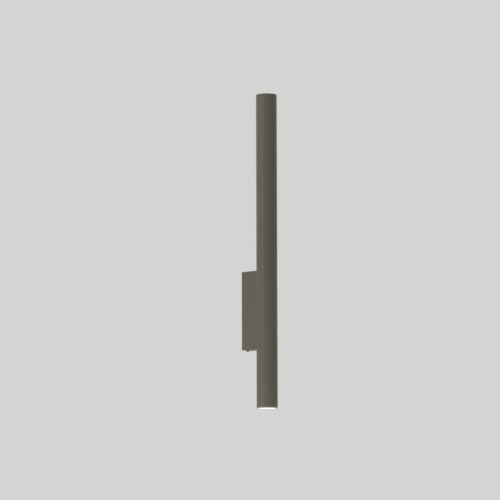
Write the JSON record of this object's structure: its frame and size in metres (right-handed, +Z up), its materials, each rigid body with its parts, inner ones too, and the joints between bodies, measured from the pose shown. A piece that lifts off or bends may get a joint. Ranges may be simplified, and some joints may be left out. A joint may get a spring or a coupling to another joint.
{
  "type": "tube wall light",
  "caption": "Slim round tube wall light that shines up and down from both open ends, held off the wall by a narrow box that slides over a fixed wall plate.",
  "frame": {"origin": "on the wall plane, at the centre of the wall plate's back", "axes": "+Z up along the tube, +Y into the wall, -Y towards the room, +X to the right as seen from the room"},
  "size_m": [0.04, 0.0744, 0.6],
  "materials": {
    "painted_body": "fine matt powder coat, sand grey",
    "zinc_steel": "zinc-plated sheet",
    "aluminium": "as machined",
    "screw_steel": "zinc-plated",
    "black_steel": "black oxide",
    "grommet_rubber": "matt black",
    "nylon": "natural nylon",
    "brass": "plain",
    "tinned_copper": "tinned",
    "driver_plastic": "moulded, fine texture",
    "circuit_board": "lacquered board",
    "lead_brown": "insulation",
    "lead_blue": "insulation",
    "lead_green_yellow": "striped insulation",
    "lead_white": "sleeved",
    "lamp_aluminium": "cast, ribbed",
    "lamp_lens": "frosted, lit",
    "reflector": "metallised",
    "led_board": "white solder mask, lit chips",
    "lamp_base": "moulded",
    "pin_steel": "nickel-plated",
    "clear_silicone": "translucent silicone",
    "ceramic": "unglazed"
  },
  "bodies": {
    "wall_plate": {"wall_plate": "zinc_steel"},
    "set_screw": {"set_screw": "black_steel"},
    "upper_lamp": {"upper_lamp_shell": "lamp_aluminium", "upper_lamp_lens": "lamp_lens", "upper_lamp_reflector": "reflector", "upper_led_board": "led_board", "upper_lamp_base": "lamp_base", "upper_lamp_pins": "pin_steel", "upper_centring_ring": "clear_silicone"},
    "lower_lamp": {"lower_lamp_shell": "lamp_aluminium", "lower_lamp_lens": "lamp_lens", "lower_lamp_reflector": "reflector", "lower_led_board": "led_board", "lower_lamp_base": "lamp_base", "lower_lamp_pins": "pin_steel", "lower_centring_ring": "clear_silicone"},
    "fixture": {"body_tube": "painted_body", "wall_box": "painted_body", "gear_tray": "zinc_steel", "tray_nuts": "zinc_steel", "tray_spacers": "aluminium", "tube_screws": "screw_steel", "terminal_fixing_screw": "screw_steel", "earth_screw": "screw_steel", "driver_screws": "screw_steel", "upper_holder_screws": "screw_steel", "lower_holder_screws": "screw_steel", "lead_grommet": "grommet_rubber", "terminal_block": "nylon", "terminal_clamps": "brass", "terminal_screws": "brass", "earth_tag": "tinned_copper", "driver_case": "driver_plastic", "driver_cover": "driver_plastic", "driver_board": "circuit_board", "live_lead": "lead_brown", "neutral_lead": "lead_blue", "earth_lead": "lead_green_yellow", "upper_lamp_leads": "lead_white", "lower_lamp_leads": "lead_white", "upper_lamp_holder": "ceramic", "lower_lamp_holder": "ceramic"}
  },
  "joints": [
    {"name": "light_lift_off", "type": "slide", "parent": "wall_plate", "child": "fixture", "axis": [0, -1, 0], "range_m": [0, 0.03]},
    {"name": "set_screw_travel", "type": "slide", "parent": "fixture", "child": "set_screw", "axis": [0, 0, -1], "range_m": [0, 0.003]},
    {"name": "upper_lamp_pull", "type": "slide", "parent": "fixture", "child": "upper_lamp", "axis": [0, 0, 1], "range_m": [0, 0.045]},
    {"name": "lower_lamp_pull", "type": "slide", "parent": "fixture", "child": "lower_lamp", "axis": [0, 0, -1], "range_m": [0, 0.045]}
  ]
}
